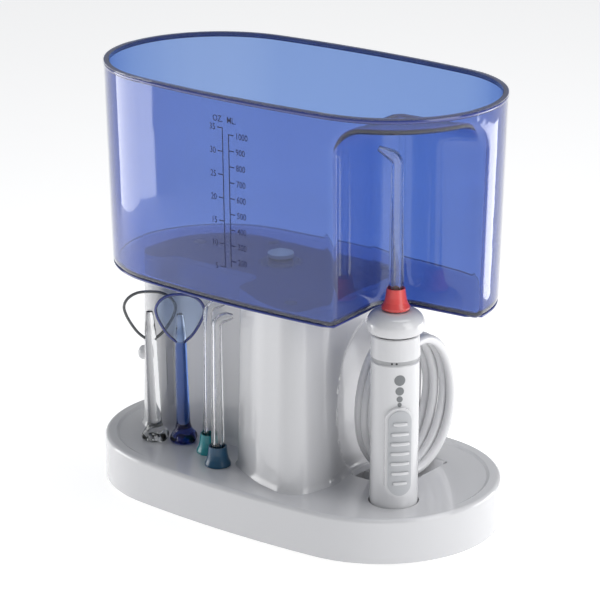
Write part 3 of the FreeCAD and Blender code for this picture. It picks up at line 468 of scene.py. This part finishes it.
def trough_infill():
    bm = bmesh.new()
    skin(bm, [[bm.verts.new((x * MM, y * MM, z * MM)) for x, y in infill_outline(reach)]
              for z, reach in INFILL_LEVELS])
    left, right = CRADLE_X
    sections = []
    for i in range(CRADLE_STEPS + 1):
        y = CRADLE_Y0 + (CRADLE_Y1 - CRADLE_Y0) * i / CRADLE_STEPS
        hollow = COIL_Z - CRADLE_HALF_Z * math.sqrt(1 - ((y - COIL_Y) / CRADLE_HALF_Y) ** 2)
        z = min(CRADLE_TOP, hollow)
        corners = ((left, CRADLE_FOOT), (right, CRADLE_FOOT), (right, z), (left, z))
        sections.append([bm.verts.new((x * MM, y * MM, h * MM)) for x, h in corners])
    skin(bm, sections)
    return mesh_object("trough_infill", bm)


infill = trough_infill()
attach(infill, "root")


# ------------------------------------------------------------ tongue cleaners

# The scoops face the same way: SIDE runs across a scoop, and BACK away from its face.
SCOOP_TURN = math.radians(37.8)
SIDE = Vector((math.cos(SCOOP_TURN), math.sin(SCOOP_TURN), 0))
BACK = Vector((-math.sin(SCOOP_TURN), math.cos(SCOOP_TURN), 0))
# Right half of the scoop's outline from its top down, as (half width, height above its base).
SCOOP = [(0.0, 25.6), (5.6, 25.2), (10.2, 22.6), (12.6, 18.6), (11.6, 14.2), (9.2, 9.6), (6.2, 5.2),
         (3.2, 2.6), (1.6, 1.6)]
SCOOP_MIDDLE, RIM_R, RIM_SIDES = 12.5, 0.72, 12
STEM_SIDES, STEM_R, STEM_TAPER, STEM_STEPS = 48, 3.3, 0.65, 8
# Stem profile as (radius, height above the deck) at the foot, and (radius, drop from the tip) at the top.
STEM_FOOT = [(2.2, 0.0), (5.3, 0.0), (6.1, 0.6), (6.45, 1.8), (6.3, 3.2), (5.7, 4.5), (4.9, 5.6), (4.1, 6.9),
             (3.6, 8.6), (STEM_R, 11.0)]
STEM_TIP = [(2.45, 8.5), (2.2, 5.5), (1.95, 3.0), (1.75, 0.9), (1.5, 0.25), (0.9, 0.0)]
STEM_ENDS = 20.0
LOBES, LOBE_DEPTH, LOBE_Z, LOBE_REACH = 6, 0.09, 2.4, 4.2
STEM_GAP = 0.03


def scoop_line(wide):
    """Smooth open outline of the scoop, from one side of the stem over the top to the other, in metres."""
    half = [(x * wide, z) for x, z in SCOOP]
    spots = [(x, 0.0, z) for x, z in half[::-1]] + [(-x, 0.0, z) for x, z in half[1:]]
    return smooth_line("scoop_guide", spots, 6)


def stem_profile(height):
    """(radius, height) pairs of the cleaner's stem: rounded foot, slow taper and pencil-like top."""
    top_of_foot = STEM_FOOT[-1][1]
    run = height - STEM_ENDS
    middle = [(STEM_R - STEM_TAPER * k / STEM_STEPS, top_of_foot + run * k / STEM_STEPS)
              for k in range(1, STEM_STEPS + 1)]
    return STEM_FOOT + middle + [(radius, height - drop) for radius, drop in STEM_TIP]


def stem(bm, foot, lean, height):
    """Lobed foot and tapering stem that leans a little to one side."""
    rings = []
    for radius, rise in stem_profile(height):
        lobe = LOBE_DEPTH * eased(1 - abs(rise - LOBE_Z) / LOBE_REACH)
        middle = Vector((*foot, DECK + STEM_GAP + rise)) + SIDE * (lean * rise / height)
        ring = []
        for a in round_angles(STEM_SIDES):
            out = Vector((math.cos(a), math.sin(a), 0)) * radius
            ring.append(bm.verts.new((middle + out * (1 + lobe * math.cos(LOBES * a))) * MM))
        rings.append(ring)
    skin(bm, rings)


def scoop_film(bm, line, half_thick):
    """Thin film that fills a symmetric open outline, in bands across it from side to side."""
    rows = [[bm.verts.new(p + BACK * (push * MM)) for p in line] for push in (-half_thick, half_thick)]
    last = len(line) - 1
    for row in rows:
        for k in range(len(line) // 2):
            if k + 1 < last - 1 - k:
                bm.faces.new((row[k], row[k + 1], row[last - 1 - k], row[last - k]))
            elif k + 1 == last - 1 - k:
                bm.faces.new((row[k], row[k + 1], row[last - k]))
    for k in range(len(line)):
        after = (k + 1) % len(line)
        bm.faces.new((rows[0][k], rows[0][after], rows[1][after], rows[1][k]))


def tongue_cleaner(name, foot, lean, base_z, top_z, wide, film, set_back):
    """Moulding of stem and film, and the fine rim that holds the film."""
    bm = bmesh.new()
    height = top_z - DECK
    stem(bm, foot, lean, height)
    across = lean * (base_z + SCOOP_MIDDLE - DECK) / height
    centre = (Vector((*foot, base_z)) + SIDE * across + BACK * set_back) * MM
    line = [centre + SIDE * p.x + UP * p.z for p in scoop_line(wide)]
    scoop_film(bm, line, film)
    return mesh_object(name, bm), sweep(name + "_rim", line, RIM_R * MM, RIM_SIDES)


clear_cleaner, clear_rim = tongue_cleaner("clear_cleaner", foot=(-64.0, -30.4), lean=-1.9, base_z=71.6,
                                          top_z=87.8, wide=1.0, film=0.22, set_back=1.2)
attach(clear_rim, "clear_cleaner")
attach(clear_cleaner, "clear_cleaner")
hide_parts("clear_tongue_cleaner")
blue_cleaner, blue_rim = tongue_cleaner("blue_cleaner", foot=(-51.8, -23.8), lean=-1.0, base_z=71.6,
                                        top_z=87.4, wide=0.94, film=0.6, set_back=-0.8)
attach(blue_rim, "blue_cleaner")
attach(blue_cleaner, "blue_cleaner")
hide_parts("blue_tongue_cleaner")


# ------------------------------------------------------------ hand piece trim

HAND = (70.6, -20.7)
# Ways that a piece faces round the hand piece are in degrees from +X.
SLIDER_FACING = -42.6
BAR_STEPS, BAR_SIDES, BAR_END_R = 16, 12, 0.05
LATHE_SIDES = 96
# Closed profile of the eject collar, as (radius, height), from its inner lower edge round the outside.
COLLAR_PROFILE = [(5.4, 103.85), (10.0, 103.85), (11.6, 103.9), (12.9, 105.0), (13.35, 107.3), (13.1, 109.6),
                  (12.0, 111.7), (10.3, 113.2), (8.2, 114.0), (6.4, 114.2), (5.4, 113.9)]
GRIP_AT, GRIP_R = 13.9, 0.78
# Each grip is its height and its width.
GRIPS = ((64.3, 6.8), (59.5, 8.4), (54.8, 9.2), (50.1, 9.2), (45.3, 9.2), (40.6, 8.4), (35.8, 6.8))
MARK_AT, MARK_R, MARK_Z, MARK_WIDTH = 10.35, 0.42, 91.9, 0.95
MARK_FACINGS = (-62.0, -50.5)


def bar_on_hand(name, z, width, radius, around, facing):
    """Round-ended raised bar that follows a circle of radius around about the hand piece's axis."""
    half = math.degrees(width / 2 / around)
    bm = bmesh.new()
    rings = []
    for i in range(BAR_STEPS + 1):
        t = -1 + 2 * i / BAR_STEPS
        a = math.radians(facing + half * t)
        out = Vector((math.cos(a), math.sin(a), 0))
        past = max(0.0, (abs(t) * width / 2 - (width / 2 - radius)) / radius)
        size = max(BAR_END_R, radius * math.sqrt(max(0.0, 1 - past ** 2)))
        middle = Vector((*HAND, z)) + out * around
        rings.append([bm.verts.new((middle + (out * math.cos(b) + UP * math.sin(b)) * size) * MM)
                      for b in round_angles(BAR_SIDES)])
    skin(bm, rings)
    return mesh_object(name, bm)


def lathe(name, profile, centre):
    """Turned piece: a smooth line through (radius, height) control points, closed on itself."""
    line = smooth_line("lathe_guide", [(r, 0.0, z) for r, z in profile], 6)
    bm = bmesh.new()
    skin(bm, [[bm.verts.new((centre[0] * MM + p.x * math.cos(a), centre[1] * MM + p.x * math.sin(a), p.z))
               for p in line] for a in round_angles(LATHE_SIDES)], closed=True)
    return mesh_object(name, bm)


collar = lathe("eject_mushroom", COLLAR_PROFILE, HAND)
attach(collar, "eject_collar")
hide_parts("eject_collar")

grips = []
for i, (z, width) in enumerate(GRIPS):
    grip = bar_on_hand("slider_grip_%d" % (i + 1), z, width, GRIP_R, GRIP_AT, SLIDER_FACING)
    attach(grip, "pressure_slider")
    grips.append(grip)
marks = []
for i, facing in enumerate(MARK_FACINGS):
    mark = bar_on_hand("ring_mark_%d" % (i + 1), MARK_Z, MARK_WIDTH, MARK_R, MARK_AT, facing)
    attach(mark, "handle")
    marks.append(mark)


# ------------------------------------------------------------ materials

# Noise scales are per metre, and the height of the bump is in metres.
CLOUD_SCALE, GLOSS_SPREAD, BUMP_HEIGHT = 35.0, 0.15, 0.0001
MAT = {}


def principled(name, colour, roughness, bump=0.0, scale=900.0, mottle=0.02, **sockets):
    """Moulded-plastic style shader: faint colour mottle, uneven gloss and a fine surface bump."""
    mat = bpy.data.materials.new(name)
    mat.use_nodes = True
    tree = mat.node_tree
    shader = tree.nodes["Principled BSDF"]
    for key, value in sockets.items():
        shader.inputs[key.replace("_", " ")].default_value = value
    where = tree.nodes.new("ShaderNodeTexCoord")
    cloud = tree.nodes.new("ShaderNodeTexNoise")
    cloud.inputs["Scale"].default_value = CLOUD_SCALE
    cloud.inputs["Detail"].default_value = 3.0
    tree.links.new(where.outputs["Object"], cloud.inputs["Vector"])
    if mottle:
        tint = tree.nodes.new("ShaderNodeMapRange")
        tint.inputs["To Min"].default_value = 1.0 - mottle
        tint.inputs["To Max"].default_value = 1.0
        tree.links.new(cloud.outputs["Fac"], tint.inputs["Value"])
        shade = tree.nodes.new("ShaderNodeVectorMath")
        shade.operation = "SCALE"
        shade.inputs[0].default_value = colour
        tree.links.new(tint.outputs["Result"], shade.inputs["Scale"])
        tree.links.new(shade.outputs["Vector"], shader.inputs["Base Color"])
    else:
        shader.inputs["Base Color"].default_value = (*colour, 1.0)
    gloss = tree.nodes.new("ShaderNodeMapRange")
    gloss.inputs["To Min"].default_value = roughness * (1 - GLOSS_SPREAD)
    gloss.inputs["To Max"].default_value = roughness * (1 + GLOSS_SPREAD)
    tree.links.new(cloud.outputs["Fac"], gloss.inputs["Value"])
    tree.links.new(gloss.outputs["Result"], shader.inputs["Roughness"])
    if bump:
        grain = tree.nodes.new("ShaderNodeTexNoise")
        grain.inputs["Scale"].default_value = scale
        grain.inputs["Detail"].default_value = 2.0
        tree.links.new(where.outputs["Object"], grain.inputs["Vector"])
        lift = tree.nodes.new("ShaderNodeBump")
        lift.inputs["Strength"].default_value = bump
        lift.inputs["Distance"].default_value = BUMP_HEIGHT
        tree.links.new(grain.outputs["Fac"], lift.inputs["Height"])
        tree.links.new(lift.outputs["Normal"], shader.inputs["Normal"])
    MAT[name] = mat
    return mat


def clear(name, colour, roughness, ior, transmission=1.0, **sockets):
    """Smooth see-through plastic of one even surface colour."""
    return principled(name, colour, roughness, mottle=0.0, Transmission_Weight=transmission, IOR=ior,
                      **sockets)


def absorb(mat, colour, density):
    """Give a clear plastic its body colour, so that thick edges turn dark. The density is per metre."""
    tree = mat.node_tree
    body = tree.nodes.new("ShaderNodeVolumeAbsorption")
    body.inputs["Color"].default_value = (*colour, 1.0)
    body.inputs["Density"].default_value = density
    tree.links.new(body.outputs["Volume"], tree.nodes["Material Output"].inputs["Volume"])


principled("white_gloss", (0.70, 0.70, 0.715), 0.20, 0.08, 260.0, Coat_Weight=0.8, Coat_Roughness=0.05)
principled("white_hand", (0.74, 0.74, 0.755), 0.16, 0.06, 260.0, Coat_Weight=0.7, Coat_Roughness=0.05)
principled("inner_plastic", (0.62, 0.62, 0.60), 0.45, 0.2, 900.0)
principled("black_rubber", (0.03, 0.03, 0.032), 0.7, 0.4, 1500.0)
principled("seal_rubber", (0.045, 0.045, 0.05), 0.6, 0.3, 1500.0)
principled("steel", (0.6, 0.61, 0.63), 0.32, 0.15, 1200.0, Metallic=1.0)
principled("brass", (0.7, 0.5, 0.2), 0.35, 0.15, 1200.0, Metallic=1.0)
principled("magnet", (0.05, 0.05, 0.055), 0.55, 0.3, 1200.0)
principled("board", (0.03, 0.16, 0.07), 0.45, 0.2, 1500.0)
principled("soft_tube", (0.7, 0.7, 0.68), 0.4, 0.1, 900.0, Subsurface_Weight=0.3)
principled("hose_white", (0.85, 0.85, 0.86), 0.26, 0.15, 700.0, Coat_Weight=0.25, Coat_Roughness=0.12)
# The tank's faint navy emission is painted light: a glow that lifts its dark edges and lower part, though
# the plastic gives no light of its own.
clear("tank_blue", (0.90, 0.93, 0.99), 0.06, 1.18, transmission=0.96, Coat_Weight=1.0, Coat_Roughness=0.03,
      Emission_Color=(0.03, 0.07, 0.36, 1.0), Emission_Strength=0.05)
# rim_grey is opaque dark grey on the clear cleaner's rim: painted shade for the dark edge that refraction
# gives clear plastic, which has no grey of its own.
principled("rim_grey", (0.10, 0.105, 0.11), 0.12, mottle=0.05, Coat_Weight=1.0, Coat_Roughness=0.03)
# rim_navy is opaque dark navy on the tank's beads and the blue cleaner's rim: partly the blue plastic's
# deeper colour at thick edges, partly painted shade for the darkness that refraction gives clear edges.
principled("rim_navy", (0.03, 0.05, 0.27), 0.14, mottle=0.04, Coat_Weight=1.0, Coat_Roughness=0.04)
clear("clear_plastic", (0.98, 0.98, 0.98), 0.02, 1.49)
clear("blue_plastic", (0.96, 0.97, 1.0), 0.03, 1.49)
principled("coral", (0.80, 0.085, 0.08), 0.28, 0.12, 900.0, Coat_Weight=0.3)
principled("teal", (0.0, 0.27, 0.31), 0.28, 0.12, 900.0, Coat_Weight=0.3)
principled("navy", (0.003, 0.075, 0.16), 0.28, 0.12, 900.0, Coat_Weight=0.3)
principled("grey_pad", (0.52, 0.53, 0.55), 0.42, 0.35, 1400.0)
principled("grey_mark", (0.22, 0.23, 0.24), 0.4, 0.2, 1200.0)
principled("ring_grey", (0.42, 0.425, 0.435), 0.35, 0.2, 1200.0)
principled("ink", (0.008, 0.014, 0.08), 0.5, 0.1, 1200.0)
absorb(MAT["tank_blue"], (0.20, 0.45, 0.80), 570.0)
absorb(MAT["blue_plastic"], (0.04, 0.37, 0.80), 420.0)
absorb(MAT["clear_plastic"], (0.5, 0.52, 0.54), 60.0)

DRESS = (
    ("white_gloss", [tower, infill]),
    ("white_hand", [collar, *grips]),
    ("hose_white", [coil, lead]),
    ("black_rubber", marks),
    ("clear_plastic", [clear_cleaner]),
    ("blue_plastic", [blue_cleaner]),
    # Painted shade: the clear cleaner's rim is opaque dark grey.
    ("rim_grey", [clear_rim]),
    # Partly body colour, partly painted shade: the tank's beads and the blue cleaner's rim are opaque dark
    # navy.
    ("rim_navy", [rim_bead, low_bead, blue_rim]),
    ("ring_grey", [nodes["indicator_ring"]]),
    ("ink", [scale_print]),
)


def dress(obj, key):
    """Give a piece one material in place of any that it has."""
    obj.data.materials.clear()
    obj.data.materials.append(MAT[key])


for part in frame["record"]["subparts"]:
    dress(nodes[part["node"]], part["material_slot"])
for key, pieces in DRESS:
    for piece in pieces:
        dress(piece, key)


# ------------------------------------------------------------ studio

def area_light(name, at, aim, size, power):
    """Softbox in metres and watts, which the camera sees neither directly nor through clear plastic."""
    data = bpy.data.lights.new(name, "AREA")
    data.shape = "RECTANGLE"
    data.size, data.size_y = size
    data.energy = power
    lamp = link(bpy.data.objects.new(name, data))
    lamp.location = at
    lamp.rotation_euler = (Vector(aim) - Vector(at)).to_track_quat("-Z", "Y").to_euler()
    lamp.visible_camera = False
    lamp.visible_transmission = False


# Softboxes stand low on both sides. Their reflections are the bright bands on the tank's ends.
area_light("left_box", (-0.467, -0.219, 0.10), (-0.05, -0.05, 0.12), (0.30, 0.30), 1.0)
area_light("right_box", (0.56, -0.02, 0.30), (0.03, 0.0, 0.08), (0.30, 0.50), 1.1)
area_light("back_strip", (0.248, 0.247, 0.065), (0.10, 0.01, 0.085), (0.20, 0.10), 0.24)
area_light("front_fill", (0.30, -1.25, 0.95), (0.0, 0.0, 0.10), (0.9, 0.7), 0.1)
area_light("overhead", (0.15, 0.20, 1.10), (0.0, 0.0, 0.10), (0.9, 0.9), 6.0)

world = bpy.data.worlds.new("studio")
world.use_nodes = True
world.node_tree.nodes["Background"].inputs["Color"].default_value = (0.93, 0.96, 1.0, 1.0)
world.node_tree.nodes["Background"].inputs["Strength"].default_value = 0.26
bpy.context.scene.world = world
bpy.context.scene.view_settings.view_transform = "Standard"

# The floor lies just under the feet. Both lengths are in metres.
FLOOR_HALF, FLOOR_DROP = 6.0, 0.0002
bm = bmesh.new()
bmesh.ops.create_grid(bm, x_segments=1, y_segments=1, size=FLOOR_HALF)
floor = mesh_object("floor", bm, smooth=False)
floor.location.z = -FLOOR_DROP
floor.data.materials.append(principled("floor_white", (0.62, 0.62, 0.625), 0.6, mottle=0.0,
                                       Emission_Color=(1, 1, 1, 1), Emission_Strength=0.64))

bpy.context.view_layer.update()
